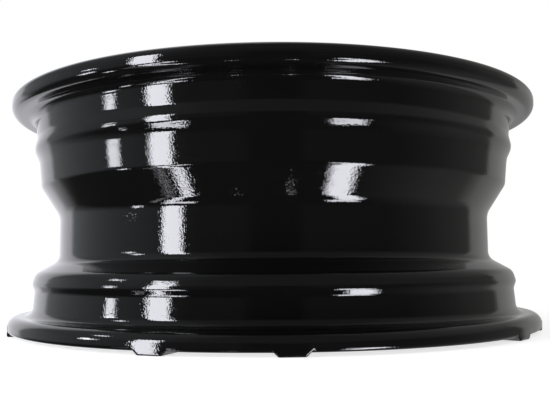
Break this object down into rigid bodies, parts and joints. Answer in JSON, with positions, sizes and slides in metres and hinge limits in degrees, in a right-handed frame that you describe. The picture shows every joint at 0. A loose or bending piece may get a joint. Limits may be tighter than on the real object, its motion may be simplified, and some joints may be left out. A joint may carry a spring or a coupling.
{
  "type": "trailer wheel",
  "caption": "Bare cast aluminium trailer wheel with a drop-centre rim, split spokes, centre bore, lug holes and valve hole, coated gloss black; takes a tyre and bolts to a hub.",
  "frame": {"origin": "centre of the hub's mounting face, on the wheel's axis", "axes": "+Z along the wheel's axis, inboard, so that the wheel lies on its face; one split spoke points along -Y and the valve hole lies towards +Y"},
  "size_m": [0.4148, 0.4146, 0.1764],
  "materials": {
    "gloss_black_coat": "gloss"
  },
  "bodies": {
    "root": {"wheel": "gloss_black_coat"}
  },
  "joints": []
}
